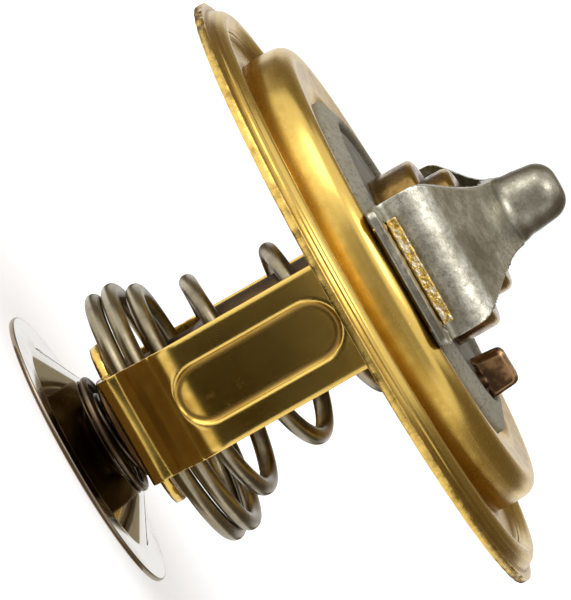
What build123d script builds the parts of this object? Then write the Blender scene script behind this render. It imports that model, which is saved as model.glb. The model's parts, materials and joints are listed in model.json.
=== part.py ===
from build123d import *
import math
import os

# Wax-element engine thermostat.
# Z runs along the axis, towards the bridge. Z = 0 is the underside of the rim, on the axis.
# The two legs of the bracket and the two feet of the bridge stand on +Y and -Y.

# ------------------------------------------------------------ driving dimensions, in mm

# flange: one pressed brass sheet
flange_sheet = 0.9
rim_radius = 33.5
bead_inset = 2.5            # middle of the stiffening bead, in from the edge of the rim
bead_flat = 0.85            # width of its top, before rounding
bead_slope = 0.85           # run of each side of the bead
bead_height = 1.45          # above the rim
trough_height = 0.2         # the ring inside the bead, above the rim
wall_inset = 7.45           # outside of the dome, in from the edge of the rim
crest_height = 6.4          # top of the dome above the rim's underside
crest_fall = 0.6            # how much the top drops towards the opening
lip_width = 1.15            # ring that turns down into the opening
lip_angle = 45.0

# bracket: one folded brass strip
bracket_sheet = 1.05
leg_inset = 4.5             # outer face of a leg, in from the outside of the dome
leg_width = 11.6
base_inner = 16.2           # inner face of a leg where it leaves the base
base_top = -24.8
base_rise = 2.0             # upright length above the base
joggle_rise = 3.4           # height over which the leg steps out
base_width = 17.9           # across the ears
base_length = 22.0
base_corner = 4.4
recess_width = 6.4
recess_drop = 1.0           # top of the recess below the rim's underside
recess_depth = 0.5
stake_height = 1.15         # leg end above the foot of the bridge
stake_spread = 0.3

# bridge: one pressed steel strip
bridge_sheet = 1.1
foot_setback = 0.75         # end of a foot, in from the outside of the dome
foot_width = 15.4
foot_corner = 1.1
bridge_inset = 1.8          # middle of the upright sheet, in from the leg's inner face
bridge_height = 16.9        # top of the drawn cap above the dome
shoulder_rise = 5.1         # where the upright turns inwards, above the dome
shoulder_radius = 3.2
crown_radius = 3.5          # outside of the drawn cap
crown_depth = 6.4           # the cap, down to where the strip runs into it
crown_round = 4.4           # where it starts to taper, below its top
crown_taper = 0.55
crown_blend = 1.5           # rounding where the strip flows up into the cap

# valve
valve_sheet = 0.9
valve_step = 0.6            # how far the edge of the plate is set down
leg_clearance = 0.8         # seal to the inner face of a leg
seat_lap = 0.45             # how far the seal reaches under the lip
seal_width = 3.6
seal_crown = 0.55           # height of the seal's inner edge above the plate
seal_face = 0.6             # run of its sloping face
seal_height = 3.1
vent_inset = 2.6            # vent pin, in from the inner edge of the seal
vent_radius = 1.55

# wax element
collar_radius = 9.5
collar_height = 4.8
nose_radius = 7.0
nose_height = 2.9
spigot_depth = 3.8          # below the plate
cup_wall = 0.8
cup_radius = 6.2
cup_shoulder = 0.5          # how far the cup's mouth stands out past its body
cup_taper = 2.2             # height of the cone between body and tail
cup_draw = 0.63             # how much slimmer the tail is
cup_reach = 2.05            # tail below the base of the bracket
cup_floor = 2.6
pocket_depth = 0.9          # ring under the floor that takes the bypass spring
sleeve_wall = 1.4
sleeve_flange = 1.0
sleeve_length = 15.5
piston_radius = 1.95
piston_depth = 14.0         # below the plate, in the closed position
valve_lift = 8.0            # travel of the element when it is hot

# main spring
coil_steps = 12             # points of a spring's line in each turn
spring_wire = 1.85
spring_turns = 6.5
spring_closed_start = 1.45  # turns
spring_closed_end = 0.6
spring_lean = 1.0           # the foot lies this far to +X

# bypass valve
stem_radius = 2.2
stem_tail = 0.82            # end of the stem below its clip
bypass_gap = 1.4            # tail of the cup to the hub of the disc
bypass_sheet = 0.55
bypass_radius = 15.3
bypass_cone_radius = 11.6
bypass_hub_radius = 6.75
bypass_hub_land = 1.0       # ring that carries the spring
bypass_dish = 0.5           # depth of the middle of the hub
bypass_cone_depth = 2.4
bypass_wire = 0.85
bypass_turns = 2.2
clip_sheet = 0.6
clip_radius = 3.9
clip_groove = 0.5
clip_mouth = 2.9

# vent pin
vent_pin_radius = 1.05
vent_head_width = 4.6
vent_head_narrow = 4.0      # across its top
vent_head_thickness = 1.9
vent_head_height = 3.4
vent_head_corner = 0.8
vent_head_bevel = 0.4
vent_head_turn = 14.0
vent_bulb_radius = 2.0
vent_lift = 1.5             # how far the pin can rise

# clearances
slide_gap = 0.06            # piston in the element's bore
guide_gap = 0.15            # cup in the base of the bracket
waist_gap = 0.4             # cup's cone above the base, with the valve fully open
slot_gap = 0.1              # leg in the slots of flange and bridge
seat_gap = 0.05             # seal to lip, with the valve shut
rest_gap = 0.05             # vent pin's head above the plate
stem_gap = 0.2              # bypass plate on its stem
clip_gap = 0.03             # clip under the bypass plate
spring_gap = 0.01           # end of a spring to what it bears on
spring_foot_gap = 0.6       # main spring to the inner face of a leg
spring_head_gap = 0.4       # main spring round the mouth of the cup
pocket_gap = 0.1            # bypass spring in the pocket under the cup
foot_gap = 0.02             # foot of the bridge on the dome
cap_gap = 0.1               # piston below the ceiling of its cap

# ------------------------------------------------------------ places that follow from them

bead_radius = rim_radius - bead_inset
wall_radius = rim_radius - wall_inset
leg_outer = wall_radius - leg_inset
leg_inner = leg_outer - bracket_sheet
foot_reach = wall_radius - foot_setback
bridge_leg = leg_inner - bridge_inset
seal_radius = leg_inner - leg_clearance
seal_shoulder = seal_radius - seal_face
seal_inner = seal_radius - seal_width
seat_radius = seal_radius - seat_lap
vent_position = seal_inner - vent_inset

# the lip of the flange, along the middle of its sheet
lip_slope = math.tan(math.radians(lip_angle))
lip_across = flange_sheet / 2 * math.sin(math.radians(lip_angle))
lip_along = flange_sheet / 2 * math.cos(math.radians(lip_angle))
lip_radius = seat_radius + lip_width
lip_end = seat_radius + lip_across
lip_level = crest_height - flange_sheet / 2 - crest_fall
lip_end_level = lip_level - (lip_radius - lip_end) * lip_slope

foot_underside = crest_height + foot_gap
foot_top = foot_underside + bridge_sheet
leg_top = foot_top + stake_height
shoulder_height = crest_height + shoulder_rise
crown_top = crest_height + bridge_height
crown_base = crown_top - crown_depth
crown_side = crown_top - crown_round

valve_floor = crest_height
plate_underside = valve_floor - valve_sheet
collar_top = valve_floor + collar_height
nose_top = collar_top + nose_height

cup_mouth = cup_radius + cup_shoulder
cup_tail_radius = cup_radius - cup_draw
spigot_radius = cup_mouth - cup_wall
spigot_bottom = plate_underside - spigot_depth
ledge = spigot_bottom - sleeve_flange
base_bottom = base_top - bracket_sheet
base_hole = cup_tail_radius + guide_gap
joggle_top = base_top + base_rise + joggle_rise
tail_top = base_top + waist_gap + valve_lift
cup_waist = tail_top + cup_taper
cup_bottom = base_bottom - cup_reach
cup_inside = cup_bottom + cup_floor
spring_seat = cup_bottom + pocket_depth
stem_top = cup_inside - cup_wall / 2

spring_foot_radius = base_inner - spring_foot_gap - spring_lean
spring_head_radius = cup_mouth + spring_head_gap + spring_wire
bypass_spring_radius = bypass_hub_radius - 0.15
bypass_spring_head = cup_tail_radius - cup_wall - pocket_gap

bypass_hub_top = cup_bottom - bypass_gap
dish_top = bypass_hub_top - bypass_dish
dish_underside = dish_top - bypass_sheet
clip_top = dish_underside - clip_gap
clip_bottom = clip_top - clip_sheet
stem_bottom = clip_bottom - stem_tail


def beside(points, offset):
    """The corners of a line that runs beside the given one, offset to its left."""
    runs = [(Vector(*b) - Vector(*a)).normalized() for a, b in zip(points, points[1:])]
    moved = [Vector(*points[0]) + offset * runs[0].rotate(Axis.Z, 90)]
    for corner, before, after in zip(points[1:], runs, runs[1:]):
        across = (before + after).normalized().rotate(Axis.Z, 90)
        moved.append(Vector(*corner) + across * (offset / across.dot(before.rotate(Axis.Z, 90))))
    return moved + [Vector(*points[-1]) + offset * runs[-1].rotate(Axis.Z, 90)]


def strip(points, radii, thickness):
    """A band of even thickness along a bent line, drawn in the plane; radii are at its middle."""
    half = thickness / 2
    corners = zip(points, points[1:], points[2:])
    turns = [math.copysign(half, (Vector(*b) - Vector(*a)).cross(Vector(*c) - Vector(*b)).Z)
             for a, b, c in corners]
    left = FilletPolyline(*beside(points, half), radius=[r - t for r, t in zip(radii, turns)])
    right = FilletPolyline(*beside(points, -half), radius=[r + t for r, t in zip(radii, turns)])
    return make_face(left + right + Line(left @ 0, right @ 0) + Line(left @ 1, right @ 1))


def turned(profile):
    """The profile, drawn as radius and height, turned about the axis."""
    return revolve(Plane.XZ * profile, axis=Axis.Z)


def outline(points, radii=None):
    """A closed flat shape from its corners, some of them rounded."""
    face = make_face(Polyline(*points, close=True))
    for corner, radius in (radii or {}).items():
        at = points[corner]
        nearest = face.vertices().sort_by_distance((at[0], at[1], 0))[0]
        face = fillet(nearest, radius)
    return face


def cylinder(radius, bottom, top):
    return Pos(0, 0, bottom) * extrude(Circle(radius), top - bottom)


def slot_box(width, near, far, bottom, top, side):
    """A block across a leg on one side, from near to far along Y."""
    middle = (side * (near + far) / 2, (bottom + top) / 2)
    return Pos(0, *middle) * Box(width, far - near, top - bottom)


# ------------------------------------------------------------ pieces

def make_flange():
    mid = flange_sheet / 2
    wall = wall_radius - mid
    bead_edge = bead_flat / 2
    bead_foot = bead_edge + bead_slope
    points = [
        (rim_radius, mid),
        (bead_radius + bead_foot, mid),
        (bead_radius + bead_edge, mid + bead_height),
        (bead_radius - bead_edge, mid + bead_height),
        (bead_radius - bead_foot, mid + trough_height),
        (wall, mid + trough_height),
        (wall, crest_height - mid),
        (lip_radius, lip_level),
        (lip_end, lip_end_level),
    ]
    flange = turned(strip(points, [0.6, 0.6, 0.6, 0.6, 0.7, 1.3, 0.8], flange_sheet))
    for side in (1, -1):
        flange -= slot_box(leg_width + 2 * slot_gap, leg_inner - slot_gap, leg_outer + slot_gap,
                           0, crest_height + 1, side)
    return flange


def make_bracket():
    mid = bracket_sheet / 2
    leg = leg_inner + mid
    foot = base_inner + mid
    plate = base_top - mid
    half = [
        (foot, plate),
        (foot, base_top + base_rise),
        (leg, joggle_top),
        (leg, leg_top),
    ]
    points = [(-y, z) for y, z in reversed(half)] + half
    bends = [1.6, 1.6, 1.0, 1.0, 1.6, 1.6]
    bracket = extrude(Plane.YZ * strip(points, bends, bracket_sheet), leg_width / 2, both=True)
    ears = extrude(RectangleRounded(base_width, base_length, base_corner), bracket_sheet)
    bracket += Pos(0, 0, base_bottom) * ears
    bracket -= cylinder(base_hole, base_bottom - 1, base_top + 1)
    recess_length = -recess_drop - joggle_top
    recess_middle = (joggle_top - recess_drop) / 2
    for side in (1, -1):
        pressed = SlotOverall(recess_length, recess_width, rotation=90)
        outside = Plane((0, side * leg_outer, recess_middle), x_dir=(1, 0, 0), z_dir=(0, -side, 0))
        inside = Plane((0, side * leg_inner, recess_middle), x_dir=(1, 0, 0), z_dir=(0, -side, 0))
        bracket += extrude(inside * pressed, recess_depth, taper=40)
        bracket -= extrude(outside * pressed, recess_depth, taper=40)
        bracket += slot_box(leg_width, leg_outer - mid, leg_outer + stake_spread,
                            foot_top, leg_top, side)
    return bracket


def make_bridge():
    mid = bridge_sheet / 2
    foot = foot_underside + mid
    half = [
        (crown_radius, crown_base),
        (bridge_leg, shoulder_height),
        (bridge_leg, foot),
        (foot_reach, foot),
    ]
    points = [(-y, z) for y, z in reversed(half)] + half
    bends = [1.2, shoulder_radius, 1.4, 1.4, shoulder_radius, 1.2]
    sheet = extrude(Plane.YZ * strip(points, bends, bridge_sheet), foot_width / 2, both=True)
    front = make_bridge_outline()
    sheet = sheet & front
    for side in (1, -1):
        corners = sheet.edges().filter_by(Axis.Z).group_by(Axis.Y)[-1 if side > 0 else 0]
        sheet = fillet(corners, foot_corner)
        sheet -= slot_box(leg_width + 2 * slot_gap, leg_inner - slot_gap, leg_outer + slot_gap,
                          foot_underside - 1, leg_top, side)
    sheet -= cylinder(crown_radius - mid, foot_top, crown_top)
    return sheet + (turned(make_crown_profile()) & front)


def make_bridge_outline():
    """Front view of the strip: full width at the feet, drawn in to the cap."""
    half = foot_width / 2
    waist = crown_radius + 0.25
    side = Spline(
        (half, shoulder_height - 0.8),
        (half - 0.9, shoulder_height + 1.2),
        (half - 2.4, shoulder_height + 2.8),
        (waist + 0.3, crown_base - 0.9),
        (waist, crown_base + 0.8),
        tangents=[(0, 1), (0, 1)],
    )
    top = crown_top + 1
    lines = side + Line(side @ 1, (waist, top)) + Line((waist, top), (0, top))
    lines += Line((0, top), (0, 0)) + Line((0, 0), (half, 0)) + Line((half, 0), side @ 0)
    face = make_face(lines)
    face += mirror(face, about=Plane.YZ)
    return extrude(Plane.XZ * face, foot_reach + 1, both=True)


def make_crown_profile():
    """Half section of the drawn cap that holds the piston, with its flare into the strip."""
    slope = (crown_base - shoulder_height) / (bridge_leg - crown_radius)
    half = bridge_sheet / 2 * math.hypot(1, slope)
    flare = crown_radius + crown_blend
    fall = crown_blend * slope
    skirt = crown_base - 0.8
    bore = crown_radius - bridge_sheet
    ceiling = crown_top - bridge_sheet
    points = [
        (bore, skirt),
        (crown_radius, skirt),
        (flare, crown_base - half - fall),
        (flare, crown_base + half - fall),
        (crown_radius, crown_base + half),
        (crown_radius, crown_side),
        (crown_radius - crown_taper, crown_top),
        (0, crown_top),
        (0, ceiling),
        (bore, ceiling),
    ]
    return outline(points, {4: crown_blend, 6: 2.4, 9: 1.9})


def make_valve_plate():
    mid = valve_sheet / 2
    level = valve_floor - mid
    edge = level - valve_step
    points = [
        (spigot_radius, level),
        (seal_inner - 0.9, level),
        (seal_inner + 0.2, edge),
        (seal_radius - 1.5, edge),
    ]
    plate = turned(strip(points, [0.6, 0.6], valve_sheet))
    hole = Pos(vent_position, 0, 0) * cylinder(vent_radius, plate_underside - 2, valve_floor + 2)
    return plate - hole


def make_valve_seal(plate):
    corner = lip_end_level + lip_along
    # the sloping sealing face runs parallel to the cut edge of the lip
    face_top = corner + (seat_radius - seal_shoulder) * lip_slope - seat_gap * math.sqrt(2)
    face_bottom = face_top - seal_face * lip_slope
    crown = valve_floor + seal_crown
    points = [
        (seal_inner, valve_floor - 0.4),
        (seal_inner, crown),
        (seal_inner + 0.5, crown),
        (seal_shoulder, crown - 0.9),
        (seal_shoulder, face_top),
        (seal_radius, face_bottom),
        (seal_radius, crown - seal_height),
        (seal_inner + 0.7, crown - seal_height),
    ]
    ring = turned(outline(points, {1: 0.2, 3: 0.35, 6: 0.25, 7: 0.3}))
    return ring - plate


def make_element_head():
    bore = piston_radius + slide_gap
    points = [
        (bore, spigot_bottom),
        (spigot_radius, spigot_bottom),
        (spigot_radius, valve_floor),
        (collar_radius, valve_floor),
        (collar_radius, collar_top),
        (nose_radius, collar_top),
        (nose_radius, nose_top),
        (bore, nose_top),
    ]
    return turned(outline(points, {4: 0.7, 5: 0.3, 6: 0.9}))


def make_cup():
    inner = cup_radius - cup_wall
    tail_inner = cup_tail_radius - cup_wall
    points = [
        (0, cup_bottom),
        (cup_tail_radius, cup_bottom),
        (cup_tail_radius, tail_top),
        (cup_radius, cup_waist),
        (cup_radius, ledge - cup_wall),
        (cup_mouth, ledge),
        (cup_mouth, plate_underside),
        (spigot_radius, plate_underside),
        (spigot_radius, ledge),
        (inner, ledge),
        (inner, cup_waist),
        (tail_inner, tail_top),
        (tail_inner, cup_inside),
        (0, cup_inside),
    ]
    cup = turned(outline(points, {1: 0.3, 2: 0.8, 3: 0.8, 12: 0.6}))
    pocket = cylinder(tail_inner, cup_bottom - 1, spring_seat)
    return cup - pocket - cylinder(stem_radius, cup_bottom - 1, stem_top)


def make_sleeve():
    bore = piston_radius + slide_gap
    outer = bore + sleeve_wall
    bottom = spigot_bottom - sleeve_length
    points = [
        (0, bottom),
        (outer, bottom),
        (outer, ledge),
        (spigot_radius, ledge),
        (spigot_radius, spigot_bottom),
        (bore, spigot_bottom),
        (bore, bottom + sleeve_wall),
        (0, bottom + sleeve_wall),
    ]
    return turned(outline(points, {1: 1.2, 2: 0.3}))


def make_wax(cup, sleeve):
    inner = cup_radius - cup_wall
    tail_inner = cup_tail_radius - cup_wall
    points = [
        (0, cup_inside),
        (tail_inner, cup_inside),
        (tail_inner, tail_top),
        (inner, cup_waist),
        (inner, ledge),
        (0, ledge),
    ]
    return turned(outline(points)) - cup - sleeve - cylinder(
        piston_radius + slide_gap, spigot_bottom - sleeve_length + sleeve_wall, spigot_bottom)


def make_piston():
    tip = plate_underside - piston_depth
    top = crown_top - bridge_sheet - cap_gap
    points = [
        (0, tip),
        (piston_radius, tip),
        (piston_radius, top),
        (0, top),
    ]
    return turned(outline(points, {1: 0.9, 2: 1.6}))


def make_coil(points, wire):
    path = Spline(*points)
    start = Plane(path @ 0, z_dir=path % 0)
    return sweep(start * Circle(wire / 2), path=path, is_frenet=True)


def eased(share):
    """Runs from 0 to 1 with level ends, for a pitch that swells and fades."""
    share = min(max(share, 0.0), 1.0)
    return share - math.sin(2 * math.pi * share) / (2 * math.pi)


def make_main_spring():
    low = base_top + spring_wire / 2 + spring_gap
    high = plate_underside - spring_wire / 2 - spring_gap
    closed_pitch = spring_wire * 1.04
    spare = high - low - closed_pitch * spring_turns
    open_turns = spring_turns - spring_closed_start - spring_closed_end
    count = round(spring_turns * coil_steps)
    points = []
    for i in range(count + 1):
        turn = spring_turns * i / count
        share = (turn - spring_closed_start) / open_turns
        height = low + closed_pitch * turn + spare * eased(share)
        narrowing = (1 - min(max(share, 0.0), 1.0)) ** 2
        radius = spring_head_radius + (spring_foot_radius - spring_head_radius) * narrowing
        radius -= spring_wire / 2
        shift = spring_lean * (1 - (turn / spring_turns) ** 2)
        angle = math.pi + 2 * math.pi * turn
        points.append((shift + radius * math.cos(angle), radius * math.sin(angle), height))
    return make_coil(points, spring_wire)


def make_bypass_spring():
    """A turn that lies on the hub, then smaller ones that rise into the pocket under the cup."""
    low = bypass_hub_top + bypass_wire / 2 + spring_gap
    high = spring_seat - bypass_wire / 2 - spring_gap
    count = round(bypass_turns * coil_steps)
    points = []
    for i in range(count + 1):
        turn = bypass_turns * i / count
        inward = eased((turn - 0.7) / 0.6)
        radius = bypass_spring_radius + (bypass_spring_head - bypass_spring_radius) * inward
        radius -= bypass_wire / 2
        angle = math.pi / 2 + 2 * math.pi * turn
        height = low + (high - low) * eased((turn - 1) / (bypass_turns - 1))
        points.append((radius * math.cos(angle), radius * math.sin(angle), height))
    return make_coil(points, bypass_wire)


def make_stem():
    stem = cylinder(stem_radius, stem_bottom, stem_top)
    stem = chamfer(stem.edges().sort_by(Axis.Z)[0], 0.35)
    groove = cylinder(stem_radius + 1, clip_bottom - clip_gap, clip_top + clip_gap)
    return stem - (groove - cylinder(stem_radius - clip_groove, stem_bottom - 1, stem_top + 1))


def make_clip():
    core = stem_radius - clip_groove + 0.01
    ring = cylinder(clip_radius, clip_bottom, clip_top)
    ring -= cylinder(core, clip_bottom - 1, clip_top + 1)
    mouth = Pos(clip_radius / 2 + 0.6, 0, clip_top) * Box(clip_radius, clip_mouth, 4 * clip_sheet)
    clip = ring - mouth
    for angle in (120, 240):
        notch = Rot(0, 0, angle) * Pos(stem_radius, 0, clip_top) * Box(1.2, 1.3, 4 * clip_sheet)
        clip -= notch
    return clip


def make_bypass_plate():
    mid = bypass_sheet / 2
    land = bypass_hub_radius - bypass_hub_land
    level = bypass_hub_top - mid
    cone_foot = level - bypass_cone_depth
    points = [
        (stem_radius + stem_gap, level - bypass_dish),
        (land - 0.7, level - bypass_dish),
        (land, level),
        (bypass_hub_radius, level),
        (bypass_cone_radius, cone_foot),
        (bypass_radius, cone_foot),
    ]
    return turned(strip(points, [0.35, 0.35, 0.4, 0.9], bypass_sheet))


def make_vent_pin():
    floor = valve_floor + rest_gap
    bulb = plate_underside - vent_lift - rest_gap - vent_bulb_radius * 0.92
    half = vent_head_width / 2
    narrow = vent_head_narrow / 2
    top = floor + vent_head_height
    front = [(-half, floor), (half, floor), (narrow, top), (-narrow, top)]
    shape = outline(front, {2: vent_head_corner, 3: vent_head_corner})
    head = extrude(Plane.XZ * shape, vent_head_thickness / 2, both=True)
    for face in (0, -1):
        head = chamfer(head.faces().sort_by(Axis.Y)[face].edges(), vent_head_bevel)
    shank = cylinder(vent_pin_radius, bulb, floor + 0.5)
    pin = Rot(0, 0, vent_head_turn) * head + shank + Pos(0, 0, bulb) * Sphere(vent_bulb_radius)
    return Pos(vent_position, 0, 0) * pin


def main():
    plate = make_valve_plate()
    cup = make_cup()
    sleeve = make_sleeve()
    pieces = {
        "flange": make_flange(),
        "bracket": make_bracket(),
        "bridge": make_bridge(),
        "valve_plate": plate,
        "valve_seal": make_valve_seal(plate),
        "element_head": make_element_head(),
        "wax_cup": cup,
        "rubber_sleeve": sleeve,
        "wax_charge": make_wax(cup, sleeve),
        "piston": make_piston(),
        "main_spring": make_main_spring(),
        "bypass_stem": make_stem(),
        "bypass_spring": make_bypass_spring(),
        "bypass_plate": make_bypass_plate(),
        "retaining_clip": make_clip(),
        "vent_pin": make_vent_pin(),
    }
    os.makedirs("parts", exist_ok=True)
    for name, piece in pieces.items():
        piece.label = name
        export_step(piece, f"parts/{name}.step")


main()
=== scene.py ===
"""Finishes an engine coolant valve for rendering, around its packed construction frame."""

import json
import math

import bmesh
import bpy
import numpy as np
from mathutils import Matrix, Vector


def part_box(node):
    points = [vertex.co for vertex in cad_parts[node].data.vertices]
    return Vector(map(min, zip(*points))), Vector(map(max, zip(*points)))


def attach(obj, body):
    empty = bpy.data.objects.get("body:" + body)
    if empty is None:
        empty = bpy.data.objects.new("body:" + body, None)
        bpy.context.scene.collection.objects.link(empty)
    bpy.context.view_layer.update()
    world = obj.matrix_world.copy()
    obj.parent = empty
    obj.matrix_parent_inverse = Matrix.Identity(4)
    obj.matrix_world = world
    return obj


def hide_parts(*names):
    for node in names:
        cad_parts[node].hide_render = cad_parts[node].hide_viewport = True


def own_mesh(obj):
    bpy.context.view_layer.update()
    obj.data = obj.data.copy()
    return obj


bl_info = {
    "name": "Coolant Valve Finisher",
    "version": (1, 0, 0),
    "blender": (4, 5, 0),
    "location": "3D View > Sidebar > Coolant Valve",
    "description": "Surfaces, finishes, stage and camera for a wax-element coolant valve",
    "category": "Object",
}

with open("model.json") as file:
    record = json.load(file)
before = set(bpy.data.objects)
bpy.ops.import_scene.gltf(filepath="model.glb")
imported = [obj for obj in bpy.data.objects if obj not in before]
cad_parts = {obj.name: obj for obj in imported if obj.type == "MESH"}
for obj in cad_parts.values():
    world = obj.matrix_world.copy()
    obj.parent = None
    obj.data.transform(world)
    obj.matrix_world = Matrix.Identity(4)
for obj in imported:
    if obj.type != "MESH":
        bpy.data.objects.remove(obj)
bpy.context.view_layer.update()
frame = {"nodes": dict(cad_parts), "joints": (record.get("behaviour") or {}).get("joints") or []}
MM = 0.001
FULL_TURN = 2 * math.pi
VALVE_MIDDLE = (0.0, 0.0, -5 * MM)  # the lamps and the cards face it
WEAR_REACH = 0.03 * MM  # a vertex that far out of its surroundings is a fully worn edge
COIL_STEPS = 96  # points of a coil's line in each turn
WIRE_SIDES = 24


# ------------------------------------------------------------------ sizes read from the frame


def node_box(node):
    """Lowest and highest corners of a CAD node, as two arrays in metres."""
    low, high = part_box(node)
    return np.array(low), np.array(high)


def joint_travel(name):
    """The far end of a sliding joint's range, in metres."""
    return next(joint["range_m"][1] for joint in frame["joints"] if joint["name"] == name)


FLOOR_LEVEL = float(node_box("bypass_plate")[0][2])


# ------------------------------------------------------------------ settings


def length(name, description, default):
    """A length that is written in millimetres."""
    return bpy.props.FloatProperty(
        name=name, description=description, default=default * MM, unit="LENGTH", precision=5)


def count(name, description, default):
    """A whole number of faces."""
    return bpy.props.IntProperty(name=name, description=description, default=default, min=3)


def share(name, description, default):
    """A number without a unit."""
    return bpy.props.FloatProperty(name=name, description=description, default=default)


def colour(name, description, default):
    """A colour in linear light."""
    return bpy.props.FloatVectorProperty(
        name=name, description=description, default=default, subtype="COLOR", min=0, max=1)


class FlangeSettings(bpy.types.PropertyGroup):
    """The pressed brass flange"""

    sheet: length("Sheet", "Thickness of the brass", 0.9)
    bead_inset: length("Bead inset", "Middle of the bead, in from the edge of the rim", 2.5)
    bead_flat: length("Bead flat", "Width of the top of the bead", 0.85)
    bead_slope: length("Bead slope", "Run of each side of the bead", 0.85)
    bead_height: length("Bead height", "Height above the rim", 1.45)
    trough_height: length("Trough height", "The ring inside the bead, above the rim", 0.2)
    wall_inset: length("Wall inset", "Outside of the dome, in from the edge of the rim", 7.45)
    wall_crown: length("Wall crown", "How far the middle of the dome's wall stands out", 0.24)
    crest_height: length("Crest height", "Top of the dome above the rim's underside", 6.4)
    crest_fall: length("Crest fall", "Drop of the top towards the opening", 0.6)
    lip_radius: length("Lip radius", "Where the top turns down into the opening", 20.4)
    seat_radius: length("Seat radius", "Radius of the opening", 19.25)
    edge_wave: length("Edge wave", "How far the trimmed edge of the rim wanders", 0.14)
    slot_gap: length("Slot gap", "Room round a leg in its slot", 0.1)
    segments: count("Segments", "Faces round the flange", 480)


class BracketSettings(bpy.types.PropertyGroup):
    """The folded brass bracket"""

    sheet: length("Sheet", "Thickness of the brass", 1.05)
    leg_width: length("Leg width", "Width of a leg", 11.6)
    leg_crown: length("Leg crown", "How far a leg's edges fall back", 0.16)
    base_rise: length("Base rise", "From the base's top to the foot of the joggle", 2.0)
    joggle_rise: length("Joggle rise", "Height of the joggle", 3.4)
    joggle_reach: length("Joggle reach", "How far the joggle sets the leg out", 4.3)
    bend: length("Bend", "Radius of the joggle's bends as first folded", 1.0)
    head_bend: length("Upper bend", "Radius of the joggle's upper bend", 6.0)
    foot_bend: length("Lower bend", "Radius of the joggle's lower bend", 1.8)
    stake_spread: length("Stake spread", "How far a staked leg end stands out", 0.3)
    stake_height: length("Stake height", "Leg end above the foot of the bridge", 1.15)
    stake_dents: length("Stake dents", "Depth of the hammer marks on the leg ends", 0.12)


class SpringSettings(bpy.types.PropertyGroup):
    """The main spring and the bypass spring"""

    wire: length("Main wire", "Thickness of the main spring's wire", 1.85)
    turns: share("Main turns", "Turns of the main spring", 6.5)
    closed_start: share("Closed turns below", "Turns that lie close at the foot", 1.45)
    closed_end: share("Closed turns above", "Turns that lie close at the head", 0.6)
    foot_radius: length("Foot radius", "Outside of the lowest turn", 14.6)
    head_radius: length("Head radius", "Outside of the highest turn", 8.95)
    close_pitch: share("Close pitch", "Climb of a closed turn, in wires", 1.04)
    lean: length("Lean", "How far the foot lies to one side", 1.0)
    base_level: length("Base level", "Top of the bracket's base", -24.8)
    plate_level: length("Plate level", "Underside of the valve plate", 5.5)
    end_gap: length("End gap", "Room between a spring's end and what it bears on", 0.01)
    small_wire: length("Bypass wire", "Thickness of the bypass spring's wire", 0.85)
    small_turns: share("Bypass turns", "Turns of the bypass spring", 2.2)
    small_foot: length("Bypass foot", "Outside of the bypass spring's lowest turn", 6.6)
    small_head: length("Bypass head", "Outside of its highest turn", 4.67)
    small_base: length("Bypass base", "Top of the disc's hub", -29.3)
    small_top: length("Bypass top", "Seat of the bypass spring under the cup", -27.0)


class BypassSettings(bpy.types.PropertyGroup):
    """The pressed bypass disc"""

    sheet: length("Sheet", "Thickness of the stainless sheet", 0.55)
    radius: length("Radius", "Outside of the disc", 15.3)
    cone_radius: length("Cone radius", "Where the cone meets the flat rim", 11.6)
    hub_radius: length("Hub radius", "Where the cone meets the hub", 6.75)
    hub_land: length("Hub land", "Width of the ring that carries the spring", 1.0)
    hub_level: length("Hub level", "Top of the hub", -29.3)
    dish: length("Dish", "Depth of the middle of the hub", 0.5)
    cone_depth: length("Cone depth", "Drop from hub to rim", 2.4)
    bore: length("Bore", "Hole for the stem", 2.4)
    segments: count("Segments", "Faces round the disc", 240)


class FinishSettings(bpy.types.PropertyGroup):
    """Colours of the finishes"""

    brass: colour("Brass", "Pressed brass", (0.76, 0.515, 0.13))
    brass_deep: colour("Deep brass", "Brass where it has darkened", (0.50, 0.30, 0.05))
    brass_tarnish: colour("Brass tarnish", "Brown film on old brass", (0.26, 0.15, 0.04))
    bronze: colour("Turned brass", "Head of the element", (0.46, 0.29, 0.08))
    bronze_deep: colour("Turned brass, dark", "Head of the element where it has darkened",
                        (0.17, 0.09, 0.022))
    cup: colour("Drawn brass", "Cup of the element", (0.17, 0.095, 0.04))
    cup_dark_and_painted_shade: colour("Drawn brass, dark", "Cup where it has darkened", (0.06, 0.033, 0.013))
    steel: colour("Steel", "Pressed steel of the bridge", (0.76, 0.73, 0.62))
    steel_deep: colour("Steel, dark", "Bridge where it has dulled", (0.22, 0.20, 0.145))
    wire: colour("Wire", "Spring wire", (0.38, 0.325, 0.215))
    wire_deep: colour("Wire, dark", "Spring wire where it has dulled", (0.19, 0.155, 0.10))
    small_wire: colour("Bypass wire", "Bypass spring's wire", (0.26, 0.19, 0.12))
    small_wire_deep: colour("Bypass wire, dark", "The same where it has dulled",
                            (0.10, 0.068, 0.04))
    plate: colour("Valve plate", "Steel of the valve plate", (0.30, 0.28, 0.24))
    rubber: colour("Seal", "Rubber of the valve seal", (0.25, 0.225, 0.16))
    sleeve: colour("Sleeve", "Rubber of the sleeve", (0.02, 0.02, 0.02))
    stainless: colour("Stainless", "Bypass disc", (0.72, 0.69, 0.63))
    stainless_film_and_edge_shade: colour("Stainless, stained", "Film on the bypass disc", (0.34, 0.25, 0.16))
    copper: colour("Copper", "Vent pin", (0.42, 0.25, 0.125))
    copper_deep: colour("Copper, dark", "Vent pin where it has darkened", (0.080, 0.050, 0.026))
    wax: colour("Wax", "Wax loaded with copper powder", (0.62, 0.40, 0.24))


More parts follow.
